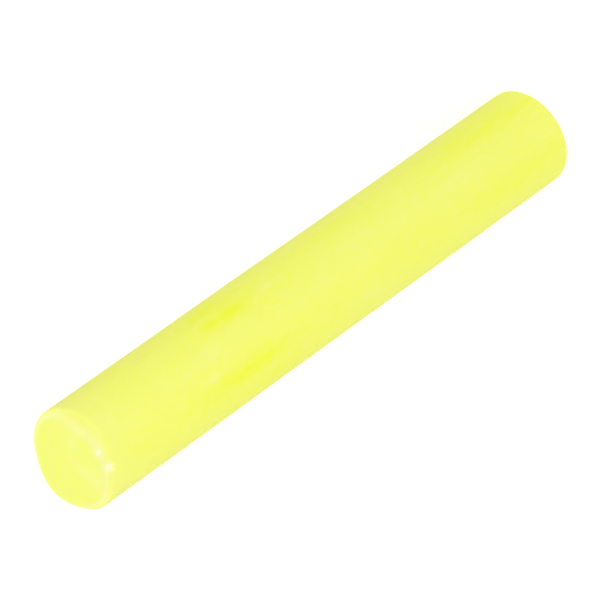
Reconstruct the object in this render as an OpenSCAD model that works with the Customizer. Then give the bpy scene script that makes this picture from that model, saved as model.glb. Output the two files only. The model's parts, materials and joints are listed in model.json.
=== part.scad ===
// Chalk stick, moulded in one piece. It stands on its square end, with its axis along +Z.
// The other end is slightly slanted, rounded over at the rim, and worn where it was used.
// Millimetres and degrees. Headings are measured from +X towards +Y.

/* [Stick] */
// Length along the axis, from the standing end to the middle of the worn end
stick_l = 80; // [50:1:120]
// Diameter of the barrel
stick_d = 12; // [9:0.5:25]

/* [Standing end] */
// Radius of the rounded rim that the stick stands inside
base_rim_r = 0.4; // [0.2:0.1:2]

/* [Worn end] */
// Radius of the rounded rim
top_rim_r = 1.4; // [0.8:0.1:3]
// Slant of the end face away from square
top_slant = 4.2; // [0:0.2:8]
// Heading of the side where the end face is highest
top_slant_heading = 160; // [0:5:355]

/* [Worn flat on the rim] */
// How deep the flat is worn into the rounded rim
flat_depth = 0.25; // [0.05:0.05:0.5]
// Heading of the middle of the flat
flat_heading = 305; // [0:5:355]
// How far the flat leans over from the end face
flat_lean = 40; // [30:1:60]

/* [Chips in the rim] */
// Radius of the hollow that each chip leaves
chip_r = 0.7; // [0.5:0.1:2]
// How deep the larger chip goes
chip_depth = 0.2; // [0.05:0.01:0.5]
// Heading of the larger chip
chip_heading = 240; // [0:1:359]
// How far down the rim's rounding the larger chip lies
chip_lean = 56; // [30:1:70]
// How deep the smaller chip goes
small_chip_depth = 0.12; // [0.05:0.01:0.5]
// Heading of the smaller chip
small_chip_heading = 260; // [0:1:359]
// How far down the rim's rounding the smaller chip lies
small_chip_lean = 31; // [30:1:70]

/* [Hidden] */
$fn = 96;
chalk_yellow = [0.95, 0.98, 0.42];
barrel_r = stick_d / 2;
// The rounding turns through this angle from the end face, and meets the barrel in a faint edge
rim_sweep = 76;
// Radius of the circle that the centre of the rounding runs along
rim_path_r = barrel_r - top_rim_r * sin(rim_sweep);
// The flare below the rounding starts this far under its surface
flare_sink = 0.02;
// Reach of the shaping solids past the stick, so that no two faces coincide
spare = 4;
cap_l = stick_l + stick_d;
flat_w = 2 * stick_d;

// The moulded rod, with its rounded standing end, left long at the top
module rod() {
    rotate_extrude() {
        translate([0, base_rim_r])
            square([barrel_r, stick_l + spare - base_rim_r]);
        square([barrel_r - base_rim_r, stick_l]);
        translate([barrel_r - base_rim_r, base_rim_r])
            circle(r = base_rim_r);
    }
}

// Places its children in the end face's own frame: the face is at z = 0, and high is along +X
module on_worn_end() {
    translate([0, 0, stick_l])
        rotate([0, 0, top_slant_heading])
            rotate([0, -top_slant, 0])
                children();
}

// Places its children at a heading on the rim's rounding, with +Z out of its surface
module on_rim(heading, lean) {
    on_worn_end()
        rotate([0, 0, heading - top_slant_heading])
            translate([rim_path_r, 0, -top_rim_r])
                rotate([0, lean, 0])
                    translate([0, 0, top_rim_r])
                        children();
}

// What lies below the slanted face and inside its rounding; below that it flares clear of the rod
module rounded_end() {
    start_r = top_rim_r - flare_sink;
    start = [rim_path_r + start_r * sin(rim_sweep), -top_rim_r + start_r * cos(rim_sweep)];
    foot = [start.x + cap_l / tan(rim_sweep), start.y - cap_l];
    rotate_extrude() {
        translate([0, -2 * top_rim_r])
            square([rim_path_r, 2 * top_rim_r]);
        translate([rim_path_r, -top_rim_r])
            circle(r = top_rim_r);
        polygon([[0, foot.y], foot, start, [0, -top_rim_r]]);
    }
}

// The slab that a long rub has taken off the rim
module worn_flat() {
    on_rim(flat_heading, flat_lean)
        translate([-flat_w / 2, -flat_w / 2, -flat_depth])
            cube([flat_w, flat_w, spare]);
}

// A shallow round hollow, as a knock leaves
module chip(heading, lean, depth) {
    on_rim(heading, lean)
        translate([0, 0, chip_r - depth])
            sphere(r = chip_r);
}

module chalk_stick() {
    color(chalk_yellow)
        difference() {
            intersection() {
                rod();
                on_worn_end()
                    rounded_end();
            }
            worn_flat();
            chip(chip_heading, chip_lean, chip_depth);
            chip(small_chip_heading, small_chip_lean, small_chip_depth);
        }
}

chalk_stick();
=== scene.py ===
"""The finish of a yellow chalk stick that stands on its square end, with its worn end up.

The stick is one surface: a profile carried around the axis, with the wear of its rim cut into it.
Lengths are in metres and angles in degrees unless a name says otherwise. Headings turn from +X
towards +Y, and heights run up the stick from the end that it stands on."""

import json
import math

import bpy
import numpy as np
from mathutils import Matrix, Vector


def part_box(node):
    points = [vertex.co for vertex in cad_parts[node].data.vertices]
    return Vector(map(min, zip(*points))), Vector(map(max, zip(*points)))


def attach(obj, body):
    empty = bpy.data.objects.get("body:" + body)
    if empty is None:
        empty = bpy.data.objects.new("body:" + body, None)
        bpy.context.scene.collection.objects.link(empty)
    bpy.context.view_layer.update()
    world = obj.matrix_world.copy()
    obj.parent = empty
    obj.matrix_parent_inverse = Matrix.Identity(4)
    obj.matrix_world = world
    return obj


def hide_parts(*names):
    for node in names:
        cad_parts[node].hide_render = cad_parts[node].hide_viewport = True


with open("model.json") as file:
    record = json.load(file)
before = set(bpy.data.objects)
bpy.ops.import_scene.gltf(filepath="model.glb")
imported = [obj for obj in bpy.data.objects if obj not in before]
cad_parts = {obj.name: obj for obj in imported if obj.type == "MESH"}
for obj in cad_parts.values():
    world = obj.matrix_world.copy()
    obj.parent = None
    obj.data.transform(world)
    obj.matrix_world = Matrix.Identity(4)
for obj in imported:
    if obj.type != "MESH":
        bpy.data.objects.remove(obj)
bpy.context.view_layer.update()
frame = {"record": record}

MM = 0.001
UP = np.array((0, 0, 1.0))
NODE = "chalk_stick"

# The stick, as the frame gives it
barrel = next(m for m in frame["record"]["mounts"] if m["name"] == "barrel")
BARREL_R = barrel["dims"]["r_mm"] * MM
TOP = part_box(NODE)[1].z

# The end that it stands on: the rounding of its rim, and the tilt of the normal that bounds it
BASE_RIM_R = 0.4 * MM
BASE_TILT = -45

# The worn end: how far its face slants and towards which heading it rises. The slant fades out
# down the barrel by this power of the height
SLANT = 4.2
SLANT_HEADING = 160
SLANT_FADE = 3

# The rounding of the worn rim: how far it sweeps, and its radius
RIM_SWEEP = 76
RIM_R = 1.3 * MM
RIM_WEAR = [
    # heading, half width, change in the radius of the rounding there
    (284, 42, 0.5 * MM),
    (214, 24, -0.45 * MM),
    (350, 22, -0.2 * MM),
    (60, 24, 0.4 * MM),
    (105, 16, -0.2 * MM),
    (148, 20, 0.3 * MM),
]

# Wear of the rim: heading, lean down the rounding from the end face, and depth
FLAT = (305, 40, 0.25 * MM)
CHIPS = [
    # heading, lean, radius of the hollow, depth
    (240, 56, 0.7 * MM, 0.20 * MM),
    (260, 31, 0.7 * MM, 0.12 * MM),
]

# A hollow's radius wanders by this share of itself, in lumps of this cell and seed. The whitish patch
# fades out over this share of the half width of the chip's mouth
CHIP_RAGGED = 0.12
CHIP_LUMPS = (0.35 * MM, 5)
CHIP_SHOWS = 0.8

# Unevenness of the moulded surface, which is sunk by this much so that it hardly stands proud
WAVES = [
    # height, size of the lattice cell, seed
    (0.03 * MM, (7 * MM, 7 * MM, 16 * MM), 1),
    (0.008 * MM, (0.9 * MM, 0.9 * MM, 9 * MM), 2),
]
SUNK = 0.02 * MM

# The paler band around the worn rim: how far it leans from the end face, and where it shifts
BAND_LEAN = 35
BAND_WIDTH = 26
BAND_SHIFTS = [
    # heading, half width, change in the lean there
    (220, 26, -12),
    (301, 22, -14),
]
BAND_STRENGTH = 0.7
BAND_STRENGTH_CHANGES = [
    # heading, half width, change in how strongly the band shows there
    (222, 20, 0.25),
    (250, 15, 0.35),
]

# The clean face starts and is full where the normal tilts this far up
FACE_STARTS = 70
FACE_FULL = 85

# Rings of points on each stretch of the surface, and points in a ring
RINGS = {"base": 24, "base_rim": 8, "barrel": 196, "worn_rim": 28, "face": 42}
POINTS_AROUND = 320

# Clouds of colour: height, heading, half length, half width in degrees, strength
STRONG_CLOUDS = [
    (55.5 * MM, 302, 4.6 * MM, 12, 1.0),
    (57 * MM, 240, 7.0 * MM, 14, 0.8),
    (64 * MM, 243, 3.0 * MM, 7, 0.4),
    (56 * MM, 324, 5.0 * MM, 14, 0.6),
    (53 * MM, 210, 6.0 * MM, 14, 0.35),
    (51 * MM, 287, 6.0 * MM, 18, 0.3),
    (10 * MM, 239, 9.0 * MM, 11, 0.3),
    (8 * MM, 305, 10.0 * MM, 10, 0.5),
    (12 * MM, 321, 12.0 * MM, 12, 0.3),
    (36 * MM, 318, 6.0 * MM, 10, 0.3),
    (30 * MM, 95, 14.0 * MM, 16, 0.4),
    (62 * MM, 60, 7.0 * MM, 12, 0.5),
    (47 * MM, 150, 5.0 * MM, 10, 0.6),
]
# Paler clouds of the chalk. The first one, the long band down heading 275 on the side that faces the key
# lamp, is painted sheen
PALE_CLOUDS_AND_PAINTED_SHEEN = [
    (40 * MM, 275, 75 * MM, 24, 0.45),
    (62 * MM, 254, 1.6 * MM, 5, 1.0),
    (61 * MM, 277, 3.0 * MM, 12, 0.8),
    (48.5 * MM, 302, 1.3 * MM, 4, 1.0),
    (18 * MM, 275, 9 * MM, 16, 0.7),
    (36 * MM, 225, 3 * MM, 7, 0.6),
    (40 * MM, 90, 60 * MM, 22, 0.35),
    (24 * MM, 40, 4 * MM, 12, 0.7),
]
CLOUD_FALL = 1.2

# The stick pales a little from this height up to its worn end
END_PALES = 72 * MM

# Colours, linear
MID_YELLOW = (0.85, 0.873, 0.165)
STRONG_YELLOW = (0.832, 0.880, 0.035)
# Paler clouds, and the painted sheen down the side that faces the key lamp
PALE_AND_SHEEN_YELLOW = (0.862, 0.866, 0.265)
CLEAN_END = (0.853, 0.893, 0.175)
# The paler, less yellow band on the worn rim
PALER_RIM_BAND = (0.876, 0.882, 0.38)
# The whitish patches in and around the chips
CHIP_WHITE_COLOUR = (0.93, 0.91, 0.72)

# Noise in the chalk: cells per millimetre along X, Y and Z, then layers of detail
CLOUDY = ((0.22, 0.22, 0.07), 3)
STREAKS = ((0.9, 0.9, 0.05), 3)
FINE = ((3.0, 3.0, 1.6), 4)
MOTTLE = ((0.7, 0.7, 0.7), 2)
SPECKLE = ((1.5, 1.5, 0.7), 3)
CHIP_PATCHES = ((5.0, 5.0, 5.0), 2)
GRAIN = ((9.0, 9.0, 7.0), 3, 0.6)

# The dull surface of the chalk
ROUGHNESS = 0.5
ROUGHNESS_CHANGE = 0.2
SHINE = 0.1
DUSTINESS = 1.0
BUMP_STRENGTH = 0.25
BUMP_DEPTH = 0.05 * MM

# Soft light of the room, and what it adds from above and from +X
ROOM_LEVEL = 0.1
ROOM_ABOVE = 0.38
ROOM_SIDE = 0.24
ROOM_SIDE_TINT = (0.87, 1.0, 0.9, 1)

# The two soft boxes: heading, elevation, distance, size, power in watts
KEY = (262, 62, 0.7, 0.45, 3.15)
FILL = (84, 10, 0.7, 0.45, 0.8)

# The table top: its flat, the sweep up around it, and its rings and points
TABLE_R = 1.3
SWEEP_R = 0.35
TABLE_RINGS = [0.05, 0.6]
SWEEP_RINGS = 13
TABLE_POINTS = 72
TABLE_COLOUR = (0.93, 0.93, 0.93)
TABLE_ROUGHNESS = 0.9
TABLE_GLOW = 0.37

# The camera looks down on the standing stick, and is rolled so that its worn end points low left
VIEW_ELEVATION = 38.27
VIEW_ROLL = 125.48
VIEW_DISTANCE = 531.7 * MM
VIEW_LENS = 286.1
VIEW_STARTS = 0.01
STICK_RIGHT_OF_MIDDLE = 0.94 * MM
STICK_ABOVE_MIDDLE = 0.85 * MM


def spaced(start, stop, count):
    """Even steps from start up to but not reaching stop."""
    return np.linspace(start, stop, count, endpoint=False)


def turned(heading):
    """The level unit vector at a heading: its cosine along X and its sine along Y."""
    a = np.radians(heading)
    return np.stack([np.cos(a), np.sin(a), np.zeros_like(a)], -1)


def angle_from(middle, heading):
    """How far a heading has turned from a middle one, from -180 to 180."""
    return (heading - middle + 180) % 360 - 180


def lattice_noise(points, cell, seed):
    """Smooth noise from -1 to 1: random values on the corners of a box lattice of this cell, blended
    across each cell by 3t^2 - 2t^3 in each direction. The lattice repeats every 32 cells."""
    size = 32
    values = np.random.default_rng(seed).uniform(-1, 1, (size, size, size))
    scaled = points / np.asarray(cell)
    corner = np.floor(scaled).astype(int)
    t = scaled - corner
    t = t * t * (3 - 2 * t)
    total = np.zeros(points.shape[:-1])
    for dx in (0, 1):
        for dy in (0, 1):
            for dz in (0, 1):
                at = (corner + (dx, dy, dz)) % size
                share = np.prod(np.where(np.array((dx, dy, dz)) == 1, t, 1 - t), -1)
                total += values[at[..., 0], at[..., 1], at[..., 2]] * share
    return total


def bells(heading, level, changes):
    """An even level with a bell of more or less at each listed heading: the change there times e to
    the power of minus the squared angle from it, counted in half widths."""
    total = level + 0 * heading
    for middle, half_width, change in changes:
        total = total + change * np.exp(-((angle_from(middle, heading) / half_width) ** 2))
    return total


def rim_radius(heading):
    """The radius of the worn rim's rounding, which wear has made larger or smaller in places."""
    return bells(heading, RIM_R, RIM_WEAR)


def face_radius(heading):
    """The end face runs out to the middle of the rounding's arc, which is the barrel's radius less the
    rounding's radius times the sine of its sweep, so that the arc's foot meets the barrel."""
    return BARREL_R - rim_radius(heading) * math.sin(math.radians(RIM_SWEEP))


# The middle of the end face lies below the top of the part by the slant's rise out to its high side
FACE_HEIGHT = TOP - face_radius(SLANT_HEADING) * math.sin(math.radians(SLANT))


def profile(heading):
    """Radius, height and tilt of the normal above level, for each ring and heading: from the middle
    of the base out along the flat, round the base rim, up the barrel, round the worn rim and in to
    the middle of the face. Both rims are arcs of a circle, and only the worn one varies around."""
    rim_r, face_r = rim_radius(heading), face_radius(heading)
    base_flat = BARREL_R - BASE_RIM_R
    level = 0 * heading
    rings = []

    out = spaced(0, 1, RINGS["base"])[1:, None]
    rings += [(out * base_flat + level, 0 * out + level, -90 + 0 * out)]

    tilt = spaced(-90, 0, RINGS["base_rim"])[:, None]
    turn = np.radians(tilt)
    round_r = base_flat + BASE_RIM_R * np.cos(turn)
    rings += [(round_r + level, BASE_RIM_R * (1 + np.sin(turn)) + level, tilt)]

    start = 90 - RIM_SWEEP
    foot = FACE_HEIGHT - rim_r * (1 - math.sin(math.radians(start)))
    up = spaced(0, 1, RINGS["barrel"])[:, None]
    rings += [(BARREL_R + 0 * up + level, BASE_RIM_R + (foot - BASE_RIM_R) * up, 0 * up)]

    tilt = spaced(start, 90, RINGS["worn_rim"])[:, None]
    turn = np.radians(tilt)
    rings += [(face_r + rim_r * np.cos(turn), FACE_HEIGHT - rim_r * (1 - np.sin(turn)), tilt)]

    inward = spaced(1, 0, RINGS["face"])[:, None]
    rings += [(inward * face_r, FACE_HEIGHT + 0 * inward + level, 90 + 0 * inward)]
    return [np.concatenate(part) for part in zip(*rings)]


def slant_rise(radius, heading):
    """How far the slant lifts a point of the worn end above the middle of its face: the tangent of
    the slant times how far the point lies towards the heading that the face rises to."""
    return math.tan(math.radians(SLANT)) * radius * np.cos(np.radians(heading - SLANT_HEADING))


def on_rim(heading, lean):
    """A point on the worn rim's rounding, and the normal there: the middle of the rounding's arc plus
    its radius along the normal, which leans this far out from straight up."""
    a = math.radians(lean)
    side = turned(float(heading))
    normal = side * math.sin(a) + UP * math.cos(a)
    rim_r, face_r = rim_radius(heading), face_radius(heading)
    middle = side * face_r + UP * (FACE_HEIGHT - rim_r + slant_rise(face_r, heading))
    return middle + normal * rim_r, normal


def shave(points, at, normal):
    """Every point above the plane through `at` drops straight onto it."""
    above = np.maximum((points - at) @ normal, 0)
    return points - above[..., None] * normal


def scoop(points, middle, radius):
    """Every point inside a ball is pushed straight out to its surface, whose radius wanders."""
    away = points - middle
    reach = np.linalg.norm(away, axis=-1)
    rough = radius * (1 + CHIP_RAGGED * lattice_noise(points, *CHIP_LUMPS))
    inside = reach < rough
    scale = np.where(inside, rough / np.maximum(reach, 1e-9), 1)
    return middle + away * scale[..., None]


def cloud(height, heading, spots):
    """How strongly each point lies in a list of soft oval clouds, the strongest counting. A cloud is
    its strength times e to the power of minus CLOUD_FALL times the squared distance from its middle,
    counted in half lengths and half widths."""
    total = np.zeros(height.shape)
    for mid_height, mid_heading, half_length, half_width, strength in spots:
        along = (height - mid_height) / half_length
        around = angle_from(mid_heading, heading) / half_width
        total = np.maximum(total, strength * np.exp(-CLOUD_FALL * (along ** 2 + around ** 2)))
    return total


def stick_surface():
    """The grid of points, one row for each ring, and the finish values that go with them: the profile
    turned around the axis, then slanted, made uneven along its normals, shaved flat and chipped."""
    heading = spaced(0, 360, POINTS_AROUND)
    radius, height, tilt = profile(heading)
    side = turned(heading)[None]
    turn = np.radians(tilt)[..., None]
    normal = side * np.cos(turn) + UP * np.sin(turn)
    above_base = tilt > BASE_TILT

    share = np.clip(height / FACE_HEIGHT, 0, 1) ** SLANT_FADE
    points = side * radius[..., None] + UP * (height + slant_rise(radius, heading) * share)[..., None]
    wave = sum(depth * lattice_noise(points, cell, seed) for depth, cell, seed in WAVES)
    points = points + normal * (wave * above_base - SUNK)[..., None]

    at, out = on_rim(*FLAT[:2])
    points = shave(points, at - out * FLAT[2], out)
    chip_whiteness = np.zeros(points.shape[:2])
    for spot, lean_down, hollow, depth in CHIPS:
        at, out = on_rim(spot, lean_down)
        mouth = math.sqrt(2 * hollow * depth)
        from_middle = np.linalg.norm(points - at, axis=-1)
        chip_whiteness = np.maximum(chip_whiteness, np.exp(-((from_middle / (CHIP_SHOWS * mouth)) ** 2)))
        points = scoop(points, at + out * (hollow - depth), hollow)

    around = heading + 0 * height
    band = 90 - bells(around, BAND_LEAN, BAND_SHIFTS)
    band_strength = bells(around, BAND_STRENGTH, BAND_STRENGTH_CHANGES)
    values = {
        "strong": cloud(height, around, STRONG_CLOUDS),
        # paler clouds, and the painted sheen down the side that faces the key lamp
        "pale_and_sheen": cloud(height, around, PALE_CLOUDS_AND_PAINTED_SHEEN),
        "rim": band_strength * np.exp(-(((tilt - band) / BAND_WIDTH) ** 2)) * (tilt > 0),
        "face": np.clip((tilt - FACE_STARTS) / (FACE_FULL - FACE_STARTS), 0, 1) + 0 * height,
        "end": np.clip((height - END_PALES) / (TOP - END_PALES), 0, 1) * above_base,
        "chip_whiteness": chip_whiteness,
    }
    return points, values


def closed_mesh(name, points, values, open_top=False):
    """A mesh of the grid, closed around and capped by a fan at each end, or at the low end only. Faces
    point to the left of the way that the rings run, which is outwards on the stick."""
    rings, around = points.shape[:2]
    index = np.arange(rings * around).reshape(rings, around)
    beside = np.roll(index, -1, 1)
    quads = np.stack([index[:-1], beside[:-1], beside[1:], index[1:]], -1).reshape(-1, 4)
    low = rings * around
    low_fan = np.stack([np.full(around, low), beside[0], index[0]], -1)
    high_fan = np.stack([np.full(around, low + 1), index[-1], beside[-1]], -1)
    flat = points.reshape(-1, 3)
    caps = np.stack([points[0].mean(0), points[-1].mean(0)])
    mesh = bpy.data.meshes.new(name)
    faces = quads.tolist() + low_fan.tolist() + ([] if open_top else high_fan.tolist())
    mesh.from_pydata(np.concatenate([flat, caps]).tolist(), [], faces)
    mesh.update()
    mesh.shade_smooth()
    for key, value in values.items():
        attribute = mesh.attributes.new(key, "FLOAT", "POINT")
        ends = [value[0].mean(), value[-1].mean()]
        attribute.data.foreach_set("value", np.append(value.reshape(-1), ends).astype(np.float32))
    return mesh


def added(name, data):
    """A new object of this mesh, lamp or camera, in the scene."""
    thing = bpy.data.objects.new(name, data)
    bpy.context.scene.collection.objects.link(thing)
    return thing


class Wire:
    """A socket of a material. Arithmetic with wires and numbers adds Math nodes, and node() any other."""

    def __init__(self, tree, socket=None):
        self.tree = tree
        self.socket = socket

    def node(self, kind, settings=None, inputs=None, output=0):
        """Adds a node: its settings first, then the values or wires of its sockets."""
        made = self.tree.nodes.new(kind)
        for key, value in (settings or {}).items():
            setattr(made, key, value)
        for key, value in (inputs or {}).items():
            if isinstance(value, Wire):
                self.tree.links.new(value.socket, made.inputs[key])
            else:
                made.inputs[key].default_value = value
        return Wire(self.tree, made.outputs[output] if len(made.outputs) else None)

    def math(self, operation, a, b):
        """One Math node on two wires or numbers."""
        return self.node("ShaderNodeMath", {"operation": operation}, {0: a, 1: b})

    def __add__(self, other):
        return self.math("ADD", self, other)

    __radd__ = __add__

    def __mul__(self, other):
        return self.math("MULTIPLY", self, other)

    __rmul__ = __mul__

    def __sub__(self, other):
        return self.math("SUBTRACT", self, other)

    def __rsub__(self, other):
        return self.math("SUBTRACT", other, self)

    def clamp(self):
        """The same value, held between 0 and 1."""
        return self.node("ShaderNodeClamp", None, {0: self})

    def attribute(self, name):
        """A finish value that the points of the surface carry."""
        return self.node("ShaderNodeAttribute", {"attribute_name": name}, None, "Fac")

    def noise(self, cells, detail, roughness=0.5):
        """Noise on the piece's own coordinates, with cells per millimetre along X, Y and Z."""
        place = self.node("ShaderNodeTexCoord", None, None, "Object")
        scale = tuple(c / MM for c in cells)
        place = self.node("ShaderNodeMapping", None, {"Vector": place, "Scale": scale})
        inputs = {"Vector": place, "Scale": 1.0, "Detail": detail, "Roughness": roughness}
        return self.node("ShaderNodeTexNoise", None, inputs, "Fac")

    def blend(self, factor, a, b):
        """Colour a where factor is 0, and colour b where it is 1. A Mix node takes its two colours at
        sockets 6 and 7, and gives the blend at 2."""
        colours = {"Factor": factor, 6: a, 7: b}
        return self.node("ShaderNodeMix", {"data_type": "RGBA"}, colours, 2)


def spread(wire, low, high):
    """Stretches low..high to 0..1 and holds it there."""
    return ((wire - low) * (1 / (high - low))).clamp()


def chalk():
    """Yellow chalk: mid yellow with stronger and paler clouds, with painted sheen down the side that faces
    the key lamp, a clean end, a paler band on the worn rim and whitish chips, each laid over the ones
    before by a share from 0 to 1."""
    material = bpy.data.materials.new("yellow_chalk")
    material.use_nodes = True
    tree = material.node_tree
    tree.nodes.clear()
    start = Wire(tree)
    cloudy = start.noise(*CLOUDY)
    streaks = start.noise(*STREAKS)
    fine = start.noise(*FINE)
    mottle = start.noise(*MOTTLE)
    speckle = start.noise(*SPECKLE)

    # The placed clouds are broken up by noise, and faint loose clouds, streaks and specks join them
    strong = start.attribute("strong") * spread(cloudy * 0.5 + fine * 0.5, 0.10, 0.48)
    strong = strong + 0.25 * spread(cloudy * 0.6 + streaks * 0.4, 0.50, 0.72)
    strong = strong + 0.25 * spread(speckle, 0.50, 0.25)
    # Paler clouds, with the painted sheen down the side that faces the key lamp among them, and paler
    # towards the worn end
    pale_and_sheen = start.attribute("pale_and_sheen") * spread(fine, 0.25, 0.55) + 0.25 * spread(streaks, 0.52, 0.75)
    pale_and_sheen = pale_and_sheen + start.attribute("end") * 0.5 + 0.35 * spread(speckle, 0.50, 0.75)

    # The band on the rim and the whitish chips show unevenly
    rim = start.attribute("rim") * (0.75 + 0.5 * spread(mottle, 0.35, 0.6))
    chip_whiteness = start.attribute("chip_whiteness") * (0.3 + 1.1 * spread(start.noise(*CHIP_PATCHES), 0.35, 0.6))

    colour = start.blend(strong.clamp(), (*MID_YELLOW, 1), (*STRONG_YELLOW, 1))
    colour = start.blend(pale_and_sheen.clamp(), colour, (*PALE_AND_SHEEN_YELLOW, 1))
    face = start.attribute("face") * (0.95 - 0.5 * spread(mottle, 0.45, 0.62))
    colour = start.blend(face, colour, (*CLEAN_END, 1))
    colour = start.blend(rim.clamp(), colour, (*PALER_RIM_BAND, 1))
    colour = start.blend(chip_whiteness.clamp(), colour, (*CHIP_WHITE_COLOUR, 1))

    relief = start.noise(*GRAIN) * 0.5 + fine * 0.3 + streaks * 0.6
    bump = {"Height": relief, "Strength": BUMP_STRENGTH, "Distance": BUMP_DEPTH}
    shader = start.node("ShaderNodeBsdfPrincipled", None, {
        "Base Color": colour,
        "Roughness": ROUGHNESS + ROUGHNESS_CHANGE * fine,
        "Specular IOR Level": SHINE,
        "Diffuse Roughness": DUSTINESS,
        "Normal": start.node("ShaderNodeBump", None, bump),
    })
    start.node("ShaderNodeOutputMaterial", None, {"Surface": shader})
    return material


def glowing(name, colour, roughness, glow):
    """A single dull colour that gives off a little white light, for the table top."""
    material = bpy.data.materials.new(name)
    material.use_nodes = True
    shader = material.node_tree.nodes["Principled BSDF"]
    shader.inputs["Base Color"].default_value = (*colour, 1)
    shader.inputs["Roughness"].default_value = roughness
    shader.inputs["Emission Color"].default_value = (1, 1, 1, 1)
    shader.inputs["Emission Strength"].default_value = glow
    return material


def make_stick():
    """The stick, in place of its plain node."""
    points, values = stick_surface()
    mesh = closed_mesh("chalk_body", points, values)
    piece = added("chalk_body", mesh)
    mesh.materials.append(chalk())
    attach(piece, "root")
    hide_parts(NODE)


def make_floor():
    """A whitish round table top whose edge curves up all round, lit a little from within, so that the
    shadows on it stay faint. It is a flat disc with a quarter circle at its edge, turned about Z."""
    turn = np.radians(np.linspace(0, 90, SWEEP_RINGS))
    radius = np.concatenate([TABLE_RINGS, TABLE_R + SWEEP_R * np.sin(turn)])
    height = np.concatenate([np.zeros(len(TABLE_RINGS)), SWEEP_R * (1 - np.cos(turn))])
    points = turned(spaced(0, 360, TABLE_POINTS))[None] * radius[:, None, None]
    points = points + height[:, None, None] * UP
    mesh = closed_mesh("floor", points, {}, open_top=True)
    floor = added("floor", mesh)
    mesh.materials.append(glowing("floor_white", TABLE_COLOUR, TABLE_ROUGHNESS, TABLE_GLOW))


def make_room():
    """Soft light from all round and above, with a little more of it, slightly green, from +X."""
    world = bpy.data.worlds.new("soft_room")
    world.use_nodes = True
    tree = world.node_tree
    tree.nodes.clear()
    start = Wire(tree)
    toward = start.node("ShaderNodeTexCoord", None, None, "Generated")
    x = start.node("ShaderNodeSeparateXYZ", None, {0: toward}, "X").clamp()
    z = start.node("ShaderNodeSeparateXYZ", None, {0: toward}, "Z").clamp()
    all_round = {"Color": (1, 1, 1, 1), "Strength": ROOM_LEVEL + ROOM_ABOVE * z}
    all_round = start.node("ShaderNodeBackground", None, all_round)
    beside = start.node("ShaderNodeBackground", None, {"Color": ROOM_SIDE_TINT, "Strength": ROOM_SIDE * x})
    both = start.node("ShaderNodeAddShader", None, {0: all_round, 1: beside})
    start.node("ShaderNodeOutputWorld", None, {"Surface": both})
    bpy.context.scene.world = world


def make_light(name, heading, elevation, distance, size, power):
    """A soft square lamp that faces the middle of the stick."""
    e = math.radians(elevation)
    out = turned(float(heading)) * math.cos(e) + np.array((0, 0, math.sin(e)))
    data = bpy.data.lights.new(name, "AREA")
    data.size = size
    data.energy = power
    lamp = added(name, data)
    lamp.location = out * distance + np.array((0, 0, FACE_HEIGHT / 2))
    lamp.rotation_euler = (math.radians(90 - elevation), 0, math.radians(heading + 90))


def make_lights():
    """The room and the two soft boxes, shown without any change of their colours."""
    make_room()
    make_light("soft_box", *KEY)
    make_light("fill_behind", *FILL)
    bpy.context.scene.view_settings.view_transform = "Standard"


def make_camera():
    """The view's own right and up are turned about the line of sight by the roll, and the camera
    stands back along that line from the middle of the stick."""
    e, r = math.radians(VIEW_ELEVATION), math.radians(VIEW_ROLL)
    back = np.array((0, -math.cos(e), math.sin(e)))
    level_right = np.array((1.0, 0, 0))
    level_up = np.cross(back, level_right)
    right = level_right * math.cos(r) - level_up * math.sin(r)
    up = level_right * math.sin(r) + level_up * math.cos(r)
    middle = np.array((0, 0, FACE_HEIGHT / 2))
    place = middle + back * VIEW_DISTANCE - right * STICK_RIGHT_OF_MIDDLE - up * STICK_ABOVE_MIDDLE
    data = bpy.data.cameras.new("camera")
    data.lens = VIEW_LENS
    data.clip_start = VIEW_STARTS
    camera = added("camera", data)
    rows = np.eye(4)
    rows[:3, 0], rows[:3, 1], rows[:3, 2], rows[:3, 3] = right, up, back, place
    camera.matrix_world = Matrix(rows.tolist())
    bpy.context.scene.camera = camera


make_stick()
make_floor()
make_lights()
make_camera()
